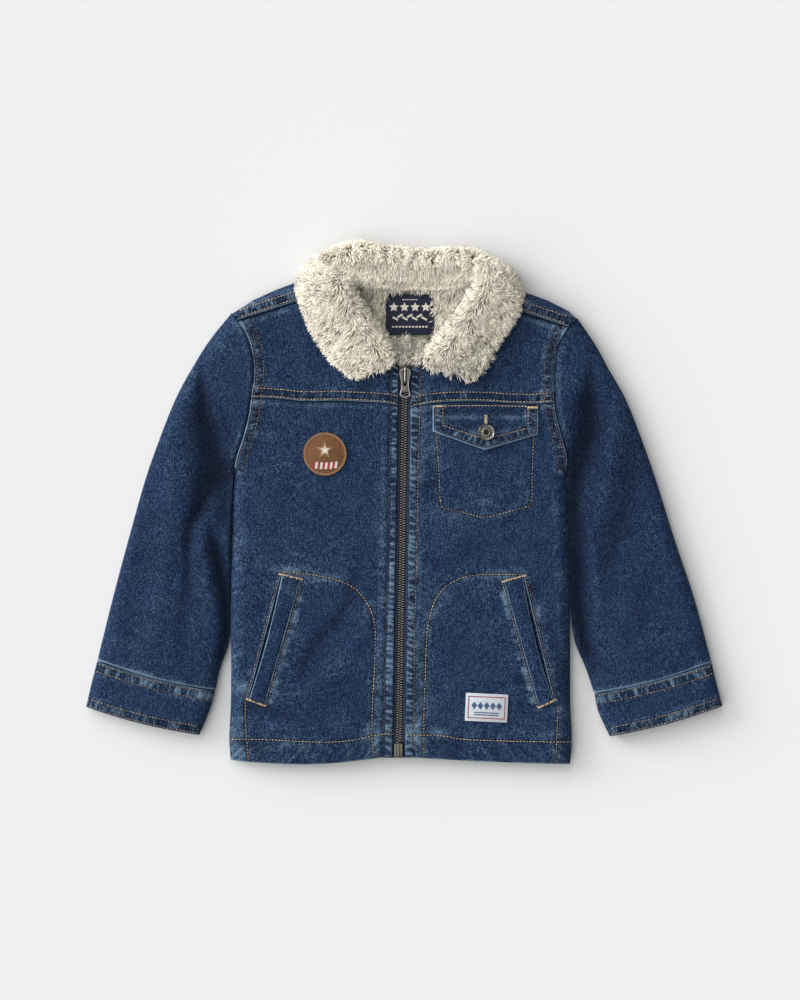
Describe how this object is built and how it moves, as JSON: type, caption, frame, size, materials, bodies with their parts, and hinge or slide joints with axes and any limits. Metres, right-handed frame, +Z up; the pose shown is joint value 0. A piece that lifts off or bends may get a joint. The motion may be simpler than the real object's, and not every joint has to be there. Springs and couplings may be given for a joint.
{
  "type": "sherpa lined jacket",
  "caption": "Child's dark blue denim jacket with a cream sherpa collar and lining, zipped up and laid flat, with a chest pocket, two welt pockets and cuffs.",
  "frame": {"origin": "centre of the footprint, on the surface that the jacket lies on", "axes": "+X to the wearer's left, +Y from the hem to the collar, +Z up from the surface through the closed front"},
  "size_m": [0.5735, 0.47, 0.0337],
  "materials": {
    "denim": "washed indigo twill, matt",
    "sherpa": "cream looped pile, matt",
    "zip_tape": "navy woven tape",
    "metal": "antiqued, dark in its hollows",
    "patch": "embroidered felt",
    "label_white": "woven label",
    "label_navy": "woven label"
  },
  "bodies": {
    "jacket": {"back": "denim", "front_right": "denim", "front_left": "denim", "yoke_right": "denim", "yoke_left": "denim", "sleeve_right": "denim", "sleeve_left": "denim", "cuff_right": "denim", "cuff_left": "denim", "collar": "sherpa", "neck_lining": "sherpa", "neck_label": "label_navy", "zip_tape_right": "zip_tape", "zip_tape_left": "zip_tape", "zip_chain": "metal", "zip_bottom_stop": "metal", "zip_slider": "metal", "pocket_welt_right": "denim", "pocket_welt_left": "denim", "pocket_flap": "denim", "flap_button": "metal", "chest_patch": "patch", "hem_label": "label_white"},
    "zip_pull": {"zip_pull": "metal"}
  },
  "joints": [
    {"name": "zip_pull_tilt", "type": "hinge", "parent": "jacket", "child": "zip_pull", "pos_m": [0.00096, 0.1207, 0.01723], "axis": [-1, 0, 0], "range_deg": [0, 110]}
  ]
}
